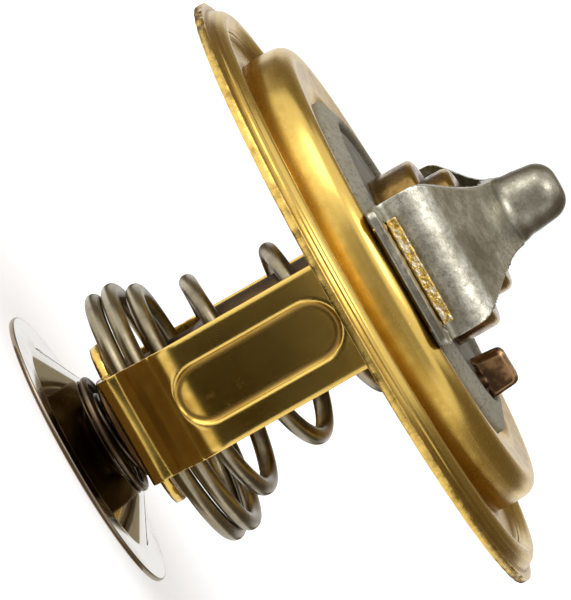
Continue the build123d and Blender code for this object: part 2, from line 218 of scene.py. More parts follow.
class StageSettings(bpy.types.PropertyGroup):
    """Floor, lights and camera"""

    camera_distance: length("Camera distance", "From the camera to the middle of the view", 600)
    frame_span: length("Frame span", "Height that the picture takes in there", 60.8)
    azimuth: bpy.props.FloatProperty(
        name="Azimuth", description="How far the camera stands to the side",
        default=math.radians(2.0), subtype="ANGLE")
    elevation: bpy.props.FloatProperty(
        name="Elevation", description="How far the camera looks down",
        default=math.radians(5.6), subtype="ANGLE")
    axis_angle: bpy.props.FloatProperty(
        name="Axis angle", description="Angle of the valve's axis above the picture's horizontal",
        default=math.radians(29.6), subtype="ANGLE")
    aim: bpy.props.FloatVectorProperty(
        name="Aim", description="Point in the middle of the picture",
        default=(-3.25 * MM, 0.0, -6.85 * MM), subtype="TRANSLATION")


# ------------------------------------------------------------------ lines and surfaces


def rounded(points, radii, steps):
    """The line through the points with its inner corners turned into arcs.

    An arc of radius r touches both runs at r times the tangent of half the turn from the corner,
    and each of its points is that far round the arc's own centre.
    """
    points = np.array(points, float)
    pieces = [points[:1]]
    for before, corner, after, radius in zip(points, points[1:], points[2:], radii):
        back = (before - corner) / np.linalg.norm(before - corner)
        ahead = (after - corner) / np.linalg.norm(after - corner)
        half = math.acos(np.clip(back @ ahead, -1, 1)) / 2
        middle = (back + ahead) / np.linalg.norm(back + ahead)
        centre = corner + middle * radius / math.sin(half)
        start = corner + back * radius / math.tan(half) - centre
        end = corner + ahead * radius / math.tan(half) - centre
        turn = math.atan2(start[0] * end[1] - start[1] * end[0], start @ end)
        angle = turn * np.linspace(0, 1, steps)[:, None]
        quarter = np.array([-start[1], start[0]])
        pieces.append(centre + start * np.cos(angle) + quarter * np.sin(angle))
    pieces.append(points[-1:])
    return np.vstack(pieces)


def spaced(line, step):
    """The same line with its points a step apart, by its length."""
    runs = np.linalg.norm(np.diff(line, axis=0), axis=1)
    along = np.concatenate([[0], np.cumsum(runs)])
    keep = np.concatenate([[True], runs > 1e-9])
    places = np.linspace(0, along[-1], max(int(along[-1] / step), 2))
    return np.stack([np.interp(places, along[keep], line[keep, i]) for i in range(2)], axis=1)


def band(line, thickness, edge):
    """The closed outline of a sheet whose middle is the line.

    Each side lies half the thickness off the line along its normal. Each end is a squared-off
    half round: across runs as the root of the sine and out as the root of the cosine, times edge.
    """
    along = np.gradient(line, axis=0)
    along /= np.linalg.norm(along, axis=1)[:, None]
    normal = np.stack([-along[:, 1], along[:, 0]], axis=1)
    half = thickness / 2
    inset_start, inset_end = line[0] + along[0] * edge, line[-1] - along[-1] * edge
    left = line + normal * half
    right = line - normal * half
    angle = np.linspace(math.pi / 2, -math.pi / 2, 9)[1:-1]
    across = np.sign(np.sin(angle)) * np.sqrt(np.abs(np.sin(angle)))
    out = np.sqrt(np.cos(angle))
    end = inset_end + normal[-1] * (half * across)[:, None] + along[-1] * (edge * out)[:, None]
    start = inset_start - normal[0] * (half * across)[:, None] - along[0] * (edge * out)[:, None]
    return np.vstack([left[1:-1], end, right[-2:0:-1], start])


def grid_faces(rows, columns, close_rows, close_columns):
    """Four-sided faces of a grid of points, wrapped round where it closes."""
    i = np.arange(rows if close_rows else rows - 1)[:, None]
    j = np.arange(columns if close_columns else columns - 1)[None, :]
    next_i, next_j = (i + 1) % rows, (j + 1) % columns
    corners = [i * columns + j, next_i * columns + j, next_i * columns + next_j, i * columns + next_j]
    columns_of_corners = [np.broadcast_to(c, (i.size, j.size)).ravel() for c in corners]
    return np.stack(columns_of_corners, axis=1).tolist()


def turned(loop, segments):
    """The closed outline, in radius and height, turned about the axis: x = r cos a, y = r sin a."""
    angle = np.linspace(0, FULL_TURN, segments, endpoint=False)[:, None]
    radius, height = loop[:, 0], loop[:, 1]
    grid = np.stack([radius * np.cos(angle), radius * np.sin(angle),
                     np.broadcast_to(height, (segments, len(loop)))], axis=2)
    return grid.reshape(-1, 3), grid_faces(segments, len(loop), True, True)


def wire_surface(path, radius, sides):
    """A round wire along a coil's line, with flat, slightly rounded ends.

    A ring of points stands round each point of the line, in the plane of the outward direction,
    freed of its part along the line, and their cross product.
    """
    along = np.gradient(path, axis=0)
    along /= np.linalg.norm(along, axis=1)[:, None]
    outward = path * [1, 1, 0]
    outward = outward - along * np.sum(outward * along, axis=1)[:, None]
    outward /= np.linalg.norm(outward, axis=1)[:, None]
    side = np.cross(along, outward)
    end_share = 0.86
    swell = np.full(len(path), radius)
    swell[[0, -1]] = radius * end_share
    angle = np.linspace(0, FULL_TURN, sides, endpoint=False)
    ring = outward[:, None] * np.cos(angle)[:, None] + side[:, None] * np.sin(angle)[:, None]
    points = path[:, None] + ring * swell[:, None, None]
    faces = grid_faces(len(path), sides, False, True)
    faces.append(list(range(sides)))
    faces.append(list(range((len(path) - 1) * sides, len(path) * sides))[::-1])
    return points.reshape(-1, 3), faces


def waves(points, size, seed):
    """Smooth random relief of about -1 to 1: a sum of sines, each along its own random direction."""
    number = 28
    rng = np.random.default_rng(seed)
    ways = rng.normal(size=(3, number))
    ways *= FULL_TURN / size * rng.uniform(0.5, 1.3, number) / np.linalg.norm(ways, axis=0)
    phases = rng.uniform(0, FULL_TURN, number)
    return np.sin(points @ ways + phases).sum(axis=1) * math.sqrt(2 / number) / 2


def smoothstep(value, low, high):
    """Runs from 0 at low to 1 at high, level at both ends."""
    part = np.clip((value - low) / (high - low), 0, 1)
    return part * part * (3 - 2 * part)


# ------------------------------------------------------------------ meshes and objects


def read_points(mesh):
    points = np.empty(len(mesh.vertices) * 3)
    mesh.vertices.foreach_get("co", points)
    return points.reshape(-1, 3)


def write_points(mesh, points):
    mesh.vertices.foreach_set("co", points.ravel())
    mesh.update()


def read_normals(mesh):
    normals = np.empty(len(mesh.vertices) * 3)
    mesh.vertex_normals.foreach_get("vector", normals)
    return normals.reshape(-1, 3)


def read_edges(mesh):
    edges = np.empty(len(mesh.edges) * 2, int)
    mesh.edges.foreach_get("vertices", edges)
    return edges.reshape(-1, 2)


def neighbour_mean(values, edges):
    """Each vertex's mean over the vertices that it shares an edge with."""
    total = np.zeros_like(values)
    number = np.bincount(edges.ravel(), minlength=len(values))
    for i in range(values.shape[1]):
        total[:, i] += np.bincount(edges[:, 0], values[edges[:, 1], i], len(values))
        total[:, i] += np.bincount(edges[:, 1], values[edges[:, 0], i], len(values))
    return total / np.maximum(number, 1)[:, None]


def smoothed(points, edges, passes):
    """Evens a mesh without shrinking it: each pass moves in by 0.5 and back out by 0.53."""
    for _ in range(passes):
        for step in (0.5, -0.53):
            points = points + step * (neighbour_mean(points, edges) - points)
    return points


def mark_wear(mesh, reach):
    """Stores how far each vertex stands out of its surroundings, from 0 in a hollow to 1 on an edge.

    It is the drop from the vertex to the mean of its neighbours, along its normal, against reach.
    """
    points, normals, edges = read_points(mesh), read_normals(mesh), read_edges(mesh)
    drop = np.sum((points - neighbour_mean(points, edges)) * normals, axis=1)[:, None]
    for _ in range(3):
        drop = neighbour_mean(drop, edges)
    wear = np.clip(0.5 + drop[:, 0] / reach, 0, 1)
    mesh.attributes.new("wear", "FLOAT", "POINT").data.foreach_set("value", wear.astype(np.float32))


def made_mesh(name, points, faces):
    mesh = bpy.data.meshes.new(name)
    mesh.from_pydata(points, [], faces)
    mesh.validate()
    return mesh


def linked(name, data):
    """A new object that stands in the scene."""
    made = bpy.data.objects.new(name, data)
    bpy.context.scene.collection.objects.link(made)
    return made


def applied(mesh, name, kind, **settings):
    """The mesh after one modifier."""
    holder = linked(name, mesh)
    modifier = holder.modifiers.new(kind, kind)
    for key, value in settings.items():
        setattr(modifier, key, value)
    graph = bpy.context.evaluated_depsgraph_get()
    result = bpy.data.meshes.new_from_object(holder.evaluated_get(graph))
    bpy.data.objects.remove(holder)
    return result


def merged_copy(node):
    """A CAD node's mesh as one closed skin."""
    mesh = frame["nodes"][node].data.copy()
    mesh.materials.clear()
    form = bmesh.new()
    form.from_mesh(mesh)
    bmesh.ops.remove_doubles(form, verts=form.verts, dist=0.0005 * MM)
    form.to_mesh(mesh)
    form.free()
    return mesh


def softened_mesh(node, voxel, passes):
    """A CAD node's form in even faces of the voxel's size, smoothed as pressing and tumbling do."""
    mesh = applied(merged_copy(node), node, "REMESH", mode="VOXEL", voxel_size=voxel)
    write_points(mesh, smoothed(read_points(mesh), read_edges(mesh), passes))
    return mesh


def place_piece(name, mesh, material, body, node, wear=None):
    """Puts a finished mesh into the scene, on its body, in place of its CAD node.

    Wear is the reach of the mark of edges and hollows, for a finish that reads it.
    """
    if wear:
        mark_wear(mesh, wear)
    mesh.materials.clear()
    mesh.materials.append(material)
    mesh.polygons.foreach_set("use_smooth", np.ones(len(mesh.polygons), bool))
    mesh.update()
    piece = linked(name, mesh)
    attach(piece, body)
    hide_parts(node)
    return piece


def dress_node(node, material):
    """Gives a CAD node that keeps its own mesh its finish."""
    target = frame["nodes"][node]
    target.data.materials.clear()
    target.data.materials.append(material)


# ------------------------------------------------------------------ finishes


class Value:
    """A socket's number or colour. Arithmetic on it adds Math nodes."""

    def __init__(self, finish, socket):
        self.finish = finish
        self.socket = socket

    def __add__(self, other):
        return self.finish.maths("ADD", self, other)

    def __sub__(self, other):
        return self.finish.maths("SUBTRACT", self, other)

    def __rsub__(self, other):
        return self.finish.maths("SUBTRACT", other, self)

    def __mul__(self, other):
        return self.finish.maths("MULTIPLY", self, other)

    def __truediv__(self, other):
        return self.finish.maths("DIVIDE", self, other)

    __radd__ = __add__
    __rmul__ = __mul__


class Finish:
    """A material in the making: its shader, and the nodes that feed it."""

    def __init__(self, name, constants):
        self.material = bpy.data.materials.new(name)
        self.material.use_nodes = True
        self.tree = self.material.node_tree
        self.shader = self.tree.nodes["Principled BSDF"]
        self.feed(self.shader, constants)
        self.place = self.node("TexCoord", {}, {}, "Object")

    def feed(self, node, sockets):
        for key, given in sockets.items():
            if isinstance(given, Value):
                self.tree.links.new(given.socket, node.inputs[key])
            else:
                node.inputs[key].default_value = given

    def node(self, kind, settings, sockets, output=0):
        """Adds a node: its settings are set first, then its sockets get their values or links."""
        made = self.tree.nodes.new("ShaderNode" + kind)
        for key, setting in settings.items():
            setattr(made, key, setting)
        self.feed(made, sockets)
        return Value(self, made.outputs[output])

    def maths(self, operation, *values):
        return self.node("Math", {"operation": operation}, dict(enumerate(values)))

    def ramp(self, value, low, high):
        """0 at low and 1 at high, level at both ends."""
        return self.node("MapRange", {"interpolation_type": "SMOOTHSTEP"},
                         {"Value": value, "From Min": low, "From Max": high})

    def mix(self, part, first, second):
        """From the first colour to the second."""
        return self.node("Mix", {"data_type": "RGBA"},
                         {0: part, 6: opaque(first), 7: opaque(second)}, 2)

    def stretched(self, scale, turn=(0, 0, 0)):
        """Object coordinates times a scale of its own along each axis."""
        return self.node("Mapping", {}, {"Vector": self.place, "Scale": scale, "Rotation": turn})

    def noise(self, size, detail=3.0, roughness=0.5, place=None):
        """Cloudy relief of 0 to 1, with features of about that size in metres."""
        return self.node("TexNoise", {}, {
            "Vector": place or self.place, "Scale": 1 / size, "Detail": detail,
            "Roughness": roughness}, "Fac")

    def spots(self, size, place=None):
        """Distance to the nearest of many scattered points, that far apart in metres."""
        return self.node("TexVoronoi", {}, {"Vector": place or self.place, "Scale": 1 / size},
                         "Distance")

    def axes(self):
        """The three Object coordinates, in metres."""
        parts = self.node("SeparateXYZ", {}, {0: self.place}).socket.node
        return [Value(self, parts.outputs[i]) for i in range(3)]

    def radius(self):
        """Distance from the axis, in metres."""
        x, y, _ = self.axes()
        return self.maths("SQRT", x * x + y * y)

    def rings(self):
        """Coordinates for marks that run round the axis: radius and height, and the way round."""
        x, y, z = self.axes()
        radius = self.radius()
        swing = 1.5 * MM
        return self.node("CombineXYZ", {}, {0: radius, 1: z + x / radius * swing,
                                            2: y / radius * swing})

    def wear(self):
        """The stored mark of edges and hollows: 0.5 on the flat, more on an edge."""
        return self.node("Attribute", {"attribute_name": "wear"}, {}, "Fac")

    def relief(self, height, depth, under=None):
        """A bumped normal from a height of 0 to 1 that stands for that depth in metres."""
        sockets = {"Height": height, "Distance": depth, "Strength": 1.0}
        if under:
            sockets["Normal"] = under
        return self.node("Bump", {}, sockets)

    def finished(self, **sockets):
        self.feed(self.shader, {key.replace("_", " "): given for key, given in sockets.items()})
        return self.material


def opaque(given):
    return given if isinstance(given, Value) else (*given, 1.0)


def metal(name, bright, deep, film, rough, grain, marks=None, worn=0.0, film_from=0.56):
    """Metal with cloudy tone, a film in patches and hollows, fine grain, and marks.

    The tone runs from bright to deep by cloudy noise. The film covers patches and hollows, and it
    is rubbed off the edges. Grain is the depth of the satin, and marks, from rings or a stretched
    copy of the coordinates, are the lines of spinning, rolling or drawing.
    """
    finish = Finish(name, {"Metallic": 1.0})
    wide = finish.noise(9 * MM, 4.0, 0.55)
    near = finish.noise(1.6 * MM, 4.0, 0.6)
    fine = finish.noise(0.16 * MM, 2.0, 0.6)
    tone = finish.ramp(wide * 0.6 + near * 0.4, 0.32, 0.68)
    patch = finish.ramp(wide * 0.45 + near * 0.55, film_from, film_from + 0.16)
    if worn:
        edge = finish.wear()
        patch = finish.maths("MAXIMUM", patch, finish.ramp(edge, 0.42, 0.2) * worn)
        patch = patch * finish.ramp(edge, 0.75, 0.55)
        tone = tone * finish.ramp(edge, 0.8, 0.55)
    base = finish.mix(tone, bright, deep)
    base = finish.mix(patch * 0.8, base, film)
    base = finish.mix(finish.ramp(fine, 0.55, 0.8) * 0.25, base, deep)
    usual_grain = 0.09
    roughness = near * 0.10 + fine * 0.08 + patch * 0.16 + (rough - usual_grain)
    normal = finish.relief(fine, grain)
    if marks:
        place = finish.rings() if marks == "rings" else finish.stretched(marks)
        lines = finish.noise(0.12 * MM, 2.0, 0.7, place)
        normal = finish.relief(lines, 0.0022 * MM, normal)
        roughness = roughness + lines * 0.06
    return finish, base, roughness, normal


def flange_finish(colours, rim, bead):
    """Spun lines, pale specks painted as glints of the grain, a step on each side of the bead, and a
    darker, rougher trimmed edge.
    """
    finish, base, roughness, normal = metal(
        "pressed_brass", colours.brass, colours.brass_deep, colours.brass_tarnish,
        0.22, 0.002 * MM, "rings", worn=0.6, film_from=0.66)
    # Painted glints: pale specks over the grain.
    painted_glint_specks = finish.ramp(finish.spots(0.9 * MM), 0.09, 0.05)
    base = finish.mix(painted_glint_specks * 0.5, base, (1.0, 0.90, 0.62))
    radius = finish.radius()
    places = (bead - 1.15 * MM, bead + 0.1 * MM, bead + 1.15 * MM, rim - 0.55 * MM)
    steps = sum(finish.ramp(finish.maths("ABSOLUTE", radius - place), 0.17 * MM, 0.05 * MM)
                for place in places)
    normal = finish.relief(steps, 0.07 * MM, normal)
    base = finish.mix(steps * 0.35, base, colours.brass_tarnish)
    burrs = finish.ramp(radius, rim - 0.8 * MM, rim - 0.2 * MM)
    clumps = finish.noise(1.7 * MM, 5.0, 0.7)
    base = finish.mix(burrs * finish.ramp(clumps, 0.44, 0.66) * 0.5, base, colours.brass_tarnish)
    normal = finish.relief(clumps * burrs, 0.05 * MM, normal)
    return finish.finished(Base_Color=base, Roughness=roughness, Normal=normal)


def bracket_finish(colours, base_level, stake_level):
    """Rolled lines along the strip, pits, painted shade on the underside of the base, and hammered leg
    ends.

    The leg ends are rough and dented, dark in the dents, and pale and steel-coloured in patches.
    """
    finish, base, roughness, normal = metal(
        "folded_brass", colours.brass, colours.brass_deep, colours.brass_tarnish,
        0.20, 0.0022 * MM, (1.0, 1.0, 0.05), worn=1.0, film_from=0.62)
    pits = finish.ramp(finish.spots(1.3 * MM), 0.07, 0.03)
    base = finish.mix(pits * 0.6, base, colours.brass_tarnish)
    height = finish.axes()[2]
    # Painted shade: the underside of the base is darkened to the cup's dark brass.
    below = finish.ramp(height, base_level + 0.25 * MM, base_level + 0.1 * MM)
    base = finish.mix(below * 0.9, base, colours.cup_dark_and_painted_shade)
    staked = finish.ramp(height, stake_level, stake_level + 0.1 * MM)
    hammered = finish.noise(0.34 * MM, 2.0, 0.6)
    normal = finish.relief(hammered * staked, 0.16 * MM, normal)
    base = finish.mix(staked * finish.ramp(hammered, 0.52, 0.36) * 0.7, base, colours.brass_tarnish)
    silvered = finish.ramp(finish.noise(0.5 * MM, 2.0, 0.6), 0.50, 0.62)
    base = finish.mix(staked * silvered * 0.7, base, colours.steel)
    roughness = roughness + staked * 0.12
    return finish.finished(Base_Color=base, Roughness=roughness, Normal=normal)


def bridge_finish(colours, cap_level):
    """Steel mottled with dull patches and grit, with pale nicks, and a cap that darkens towards its
    top.
    """
    finish, base, roughness, normal = metal(
        "pressed_steel", colours.steel, colours.steel_deep, (0.22, 0.21, 0.17),
        0.30, 0.005 * MM, worn=1.0, film_from=0.60)
    mottle = finish.noise(0.55 * MM, 4.0, 0.7)
    base = finish.mix(finish.ramp(mottle, 0.44, 0.66) * 0.55, base, colours.steel_deep)
    grit = finish.noise(0.2 * MM, 3.0, 0.7)
    base = finish.mix(finish.ramp(grit, 0.54, 0.70) * 0.6, base, (0.14, 0.125, 0.09))
    cap = finish.ramp(finish.axes()[2], cap_level, cap_level + 4 * MM)
    base = finish.mix(cap * 0.55, base, colours.steel_deep)
    normal = finish.relief(mottle, 0.03 * MM, finish.relief(grit, 0.012 * MM, normal))
    nicks = finish.noise(0.5 * MM, 1.0, 0.5, finish.stretched((1, 1, 6), (0.5, 0.4, 0.9)))
    base = finish.mix(finish.ramp(nicks, 0.70, 0.78) * 0.5, base, (0.92, 0.91, 0.87))
    return finish.finished(Base_Color=base, Roughness=roughness + mottle * 0.1, Normal=normal)


def plain_metal(*choices, **more):
    """Metal with nothing added."""
    finish, base, roughness, normal = metal(*choices, **more)
    return finish.finished(Base_Color=base, Roughness=roughness, Normal=normal)


def mirror_finish(colours, edge_radius):
    """Polished sheet with faint spin lines, a few hairline scratches, a brown film, and a dark line of
    painted shade along its edge.
    """
    finish = Finish("polished_stainless", {"Metallic": 1.0})
    lines = finish.noise(0.10 * MM, 2.0, 0.7, finish.rings())
    film = finish.ramp(finish.noise(6 * MM, 4.0, 0.6), 0.50, 0.72)
    scratch = finish.noise(0.35 * MM, 1.0, 0.5, finish.stretched((1, 12, 1), (0, 0, 0.7)))
    scratches = finish.ramp(scratch, 0.72, 0.78)
    base = finish.mix(film * 0.45, colours.stainless, colours.stainless_film_and_edge_shade)
    base = finish.mix(scratches * 0.4, base, (0.9, 0.88, 0.84))
    # Painted shade: a dark line along the disc's edge, in the film's colour.
    edge = finish.ramp(finish.radius(), edge_radius - 0.22 * MM, edge_radius - 0.08 * MM)
    base = finish.mix(edge * 0.8, base, colours.stainless_film_and_edge_shade)
    roughness = film * 0.08 + scratches * 0.2 + lines * 0.04 + edge * 0.25 + 0.05
    normal = finish.relief(lines, 0.0006 * MM)
    return finish.finished(Base_Color=base, Roughness=roughness, Normal=normal)


def rubber_finish(name, base_colour, dust):
    """Moulded rubber: matte, with pores and pale dust."""
    finish = Finish(name, {"Specular IOR Level": 0.35})
    cloud = finish.noise(2.4 * MM, 4.0, 0.6)
    pores = finish.noise(0.2 * MM, 3.0, 0.7)
    base = finish.mix(finish.ramp(cloud, 0.35, 0.7) * 0.5, base_colour, dust)
    grit = finish.noise(0.45 * MM, 3.0, 0.7)
    base = finish.mix(finish.ramp(pores, 0.5, 0.75) * 0.4, base, dust)
    base = finish.mix(finish.ramp(grit, 0.52, 0.68) * 0.7, base, (0.07, 0.062, 0.045))
    normal = finish.relief(grit, 0.05 * MM, finish.relief(pores, 0.02 * MM))
    return finish.finished(Base_Color=base, Roughness=pores * 0.15 + 0.55, Normal=normal)


def wax_finish(colours):
    """Wax full of copper powder: waxy ground, with bright grains."""
    finish = Finish("filled_wax", {"Subsurface Weight": 0.1, "Subsurface Radius": (0.001,) * 3})
    grains = finish.ramp(finish.spots(0.3 * MM), 0.35, 0.2)
    cloud = finish.noise(2 * MM)
    base = finish.mix(cloud, colours.wax, (0.46, 0.27, 0.14))
    base = finish.mix(grains, base, colours.copper)
    return finish.finished(Base_Color=base, Metallic=grains * 0.8, Roughness=cloud * 0.2 + 0.4)


# ------------------------------------------------------------------ pieces


def flange_line(size):
    """Middle of the flange's sheet from the rim to the opening, in radius and height."""
    rim = node_box("flange")[1][0]
    mid = size.sheet / 2
    bead = rim - size.bead_inset
    wall = rim - size.wall_inset - mid
    edge = size.bead_flat / 2
    foot = edge + size.bead_slope
    lip_end = size.seat_radius + mid * math.sqrt(0.5)
    lip_level = size.crest_height - mid - size.crest_fall
    crown_level = (size.crest_height + size.trough_height) / 2
    points = [
        (rim, mid),
        (bead + foot, mid),
        (bead + edge, mid + size.bead_height),
        (bead - edge, mid + size.bead_height),
        (bead - foot, mid + size.trough_height),
        (wall - size.wall_crown, mid + size.trough_height),
        (wall, crown_level),
        (wall - size.wall_crown, size.crest_height - mid),
        (size.lip_radius, lip_level),
        (lip_end, lip_level - (size.lip_radius - lip_end)),
    ]
    radii = np.array([0.6, 0.6, 0.6, 0.6, 0.7, 13.0, 1.3, 0.8]) * MM
    return rounded(points, radii, 12)


def flange_mesh(size, bracket):
    """The sheet's outline turned about the axis, with the trimmed edge and the wall a little uneven.

    The edge draws in by the size of a long and a short wave round the rim. The bead and the wall
    draw in by shallow waves.
    """
    grid_step = 0.32 * MM
    end_round = 0.16 * MM
    bead_wave = 0.03 * MM
    wall_wave = 0.012 * MM
    loop = band(spaced(flange_line(size), grid_step), size.sheet, end_round)
    points, faces = turned(loop, size.segments)
    radius = np.hypot(points[:, 0], points[:, 1])
    rim = node_box("flange")[1][0]
    at_edge = smoothstep(radius, rim - 1.2 * MM, rim)
    on_bead = smoothstep(radius, rim - 5 * MM, rim - 3 * MM)
    way_round = points * [1, 1, 0] / radius[:, None]
    trim = waves(way_round, 0.22, 11) + 0.8 * waves(way_round, 0.05, 12)
    pressed = waves(way_round, 0.5, 13)
    growth = -size.edge_wave * at_edge * np.abs(trim) + bead_wave * on_bead * pressed
    wall = waves(points, 7 * MM, 14) * wall_wave
    points[:, :2] *= (1 + np.minimum(growth + wall, 0) / radius)[:, None]
    mesh = made_mesh("flange_sheet", points, faces)
    for side in (1, -1):
        mesh = cut_slot(mesh, size, bracket, side)
    return mesh


def leg_outside(bracket):
    """How far out the outer faces of the legs stand."""
    return node_box("bracket")[1][1] - bracket.stake_spread


def cut_slot(mesh, size, bracket, side):
    """Cuts the slot that a leg of the bracket passes through."""
    outer = leg_outside(bracket) + size.slot_gap
    inner = outer - bracket.sheet - 2 * size.slot_gap
    half = bracket.leg_width / 2 + size.slot_gap
    form = bmesh.new()
    place = Matrix.Translation((0, side * (outer + inner) / 2, size.crest_height))
    bmesh.ops.create_cube(form, size=1.0, matrix=place @ Matrix.Diagonal(
        (2 * half, outer - inner, size.crest_height * 2 - 2 * size.sheet, 1.0)))
    tool_mesh = bpy.data.meshes.new("slot")
    form.to_mesh(tool_mesh)
    form.free()
    tool = linked("slot", tool_mesh)
    result = applied(mesh, "slotted", "BOOLEAN", operation="DIFFERENCE", object=tool, solver="EXACT")
    bpy.data.objects.remove(tool)
    return result


def bridge_mesh(bracket):
    """The pressed bridge, with wavy faces and crimp marks beside its slots.

    The foot of the cap is smoothed many times more, so that it flows out of the strip. Then the
    points move along their normals, by short waves beside the slots, which are deepest at their
    ends, and by long shallow waves all over.
    """
    cap_foot = 5.6 * MM
    foot_passes = 130
    crimp_depth = 0.17 * MM
    face_wave = 0.02 * MM
    mesh = softened_mesh("bridge", 0.19 * MM, 7)
    low, high = node_box("bridge")
    points = read_points(mesh)
    flow = 1 - smoothstep(np.abs(points[:, 2] - (high[2] - cap_foot)), 1.2 * MM, 3.0 * MM)
    evened = smoothed(points, read_edges(mesh), foot_passes)
    points += (evened - points) * flow[:, None]
    write_points(mesh, points)
    normals = read_normals(mesh)
    from_leg = np.abs(np.abs(points[:, 1]) - leg_outside(bracket))
    beside_slot = 1 - smoothstep(from_leg, 0.8 * MM, 2.0 * MM)
    at_foot = 1 - smoothstep(points[:, 2] - low[2], 1.3 * MM, 2.6 * MM)
    ends = smoothstep(np.abs(points[:, 0]), bracket.leg_width * 0.42, bracket.leg_width * 0.5)
    crimp = beside_slot * at_foot * (0.25 + 0.75 * ends)
    depth = crimp_depth * waves(points, 0.9 * MM, 21) * crimp
    depth += face_wave * waves(points, 5 * MM, 22)
    write_points(mesh, points + normals * (depth - depth.max() * 0.5)[:, None])
    return mesh


def along_bend(x, y, radius, half):
    """Where points lie by a bend: the length from its middle, and the distance in from it.

    The bend is an arc of that radius and its two tangent runs, turned so that the sharp corner is
    at 0, 0 and the arc's centre is up. On the arc the length is radius times angle.
    """
    centre = radius / math.cos(half)
    angle = np.arctan2(x, centre - y)
    beyond_x, beyond_y = x - radius * math.sin(half), y - centre + radius * math.cos(half)
    run = radius * half + beyond_x * math.cos(half) + beyond_y * math.sin(half)
    inward = beyond_y * math.cos(half) - beyond_x * math.sin(half)
    on_arc = angle < half
    return (np.where(on_arc, radius * angle, run),
            np.where(on_arc, radius - np.hypot(x, centre - y), inward))


def at_bend(run, inward, radius, half):
    """The points at those lengths and distances: the reverse of along_bend."""
    centre = radius / math.cos(half)
    angle = run / radius
    beyond = run - radius * half
    x = radius * math.sin(half) + beyond * math.cos(half) - inward * math.sin(half)
    y = centre - radius * math.cos(half) + beyond * math.sin(half) + inward * math.cos(half)
    on_arc = run < radius * half
    return (np.where(on_arc, np.sin(angle) * (radius - inward), x),
            np.where(on_arc, centre - np.cos(angle) * (radius - inward), y))


def widened(flat, corner, before, after, radius, wide):
    """Points of a folded sheet with one bend's radius made wider.

    A point keeps its length from the bend's middle and its distance in from it. The change fades
    out beyond the wider arc.
    """
    sheet_reach = 1.3 * MM
    fade = 1.25
    back, ahead = before - corner, after - corner
    back, ahead = back / np.linalg.norm(back), ahead / np.linalg.norm(ahead)
    half = (math.pi - math.acos(back @ ahead)) / 2
    across = (ahead - back) / np.linalg.norm(ahead - back)
    middle = (ahead + back) / np.linalg.norm(ahead + back)
    x, y = (flat - corner) @ across, (flat - corner) @ middle
    run, inward = along_bend(np.abs(x), y, radius, half)
    new_x, new_y = at_bend(run, inward, wide, half)
    end = wide * math.tan(half)
    near = (1 - smoothstep(run, end, end * fade)) * (np.abs(inward) < sheet_reach)
    move = (np.sign(x) * new_x - x)[:, None] * across + (new_y - y)[:, None] * middle
    return flat + move * near[:, None]


def bracket_mesh(bracket, base_level):
    """The folded bracket, with wide bends, crowned legs and hammered leg ends.

    Both bends of the joggle are widened, and the legs fall back from their middle by the cube of
    the distance from it. The leg ends are squeezed thinner, and dented by short waves.
    """
    most_squeeze = 0.25
    legs_from = 0.8
    face_wave = 0.008 * MM
    mesh = softened_mesh("bracket", 0.2 * MM, 6)
    points = read_points(mesh)
    side = np.sign(points[:, 1])
    top = node_box("bracket")[1][2]
    middle = leg_outside(bracket) - bracket.sheet / 2
    level = base_level + bracket.base_rise
    foot = np.array([middle - bracket.joggle_reach, level])
    head = np.array([middle, level + bracket.joggle_rise])
    below, above = foot - [0, bracket.base_rise], head + [0, bracket.joggle_rise]
    flat = np.stack([np.abs(points[:, 1]), points[:, 2]], axis=1)
    leg = flat[:, 0] > foot[0] - bracket.sheet
    flat[leg] = widened(flat[leg], head, foot, above, bracket.bend, bracket.head_bend)
    flat[leg] = widened(flat[leg], foot, below, head, bracket.bend, bracket.foot_bend)
    points[:, 1], points[:, 2] = side * flat[:, 0], flat[:, 1]
    from_middle = np.abs(points[:, 0]) / (bracket.leg_width / 2)
    inward = smoothstep(points[:, 2], base_level, level) * bracket.leg_crown
    inward *= np.clip(from_middle, 0, 1) ** 3
    squeeze = most_squeeze * smoothstep(points[:, 2], top - bracket.stake_height, top)
    out = np.abs(points[:, 1])
    distance = (out - middle) * (out > middle * legs_from)
    points[:, 1] -= side * (inward * (1 - squeeze / most_squeeze) + distance * squeeze)
    write_points(mesh, points)
    normals = read_normals(mesh)
    staked = smoothstep(points[:, 2], top - bracket.stake_height, top - 0.6 * bracket.stake_height)
    outward = np.maximum(normals[:, 1] * np.sign(points[:, 1]), normals[:, 2]).clip(0, 1)
    dents = waves(points, 0.9 * MM, 31) + 0.6 * waves(points, 0.5 * MM, 32)
    depth = bracket.stake_dents * staked * outward * (dents - 1) * 0.5
    depth += face_wave * (waves(points, 6 * MM, 33) - 1)
    write_points(mesh, points + normals * depth[:, None])
    return mesh


def eased(part):
    """Runs from 0 to 1 with level ends: the part, less the sine of its full turn over a full turn."""
    part = np.clip(part, 0, 1)
    return part - np.sin(FULL_TURN * part) / FULL_TURN


def main_spring_path(size):
    """A coil that lies close at both ends and narrows upwards.

    Height climbs one wire a turn, and the rest of the room is shared out by the eased part of the
    open turns. The radius narrows by the square of what is left of that part.
    """
    low = size.base_level + size.wire / 2 + size.end_gap
    high = size.plate_level - size.wire / 2 - size.end_gap
    pitch = size.wire * size.close_pitch
    turn = np.linspace(0, size.turns, int(size.turns * COIL_STEPS))
    part = (turn - size.closed_start) / (size.turns - size.closed_start - size.closed_end)
    height = low + pitch * turn + (high - low - pitch * size.turns) * eased(part)
    narrowing = size.foot_radius - size.head_radius
    radius = size.head_radius + narrowing * (1 - np.clip(part, 0, 1)) ** 2
    radius -= size.wire / 2
    angle = math.pi + FULL_TURN * turn
    shift = size.lean * (1 - (turn / size.turns) ** 2)
    return np.stack([shift + radius * np.cos(angle), radius * np.sin(angle), height], axis=1)


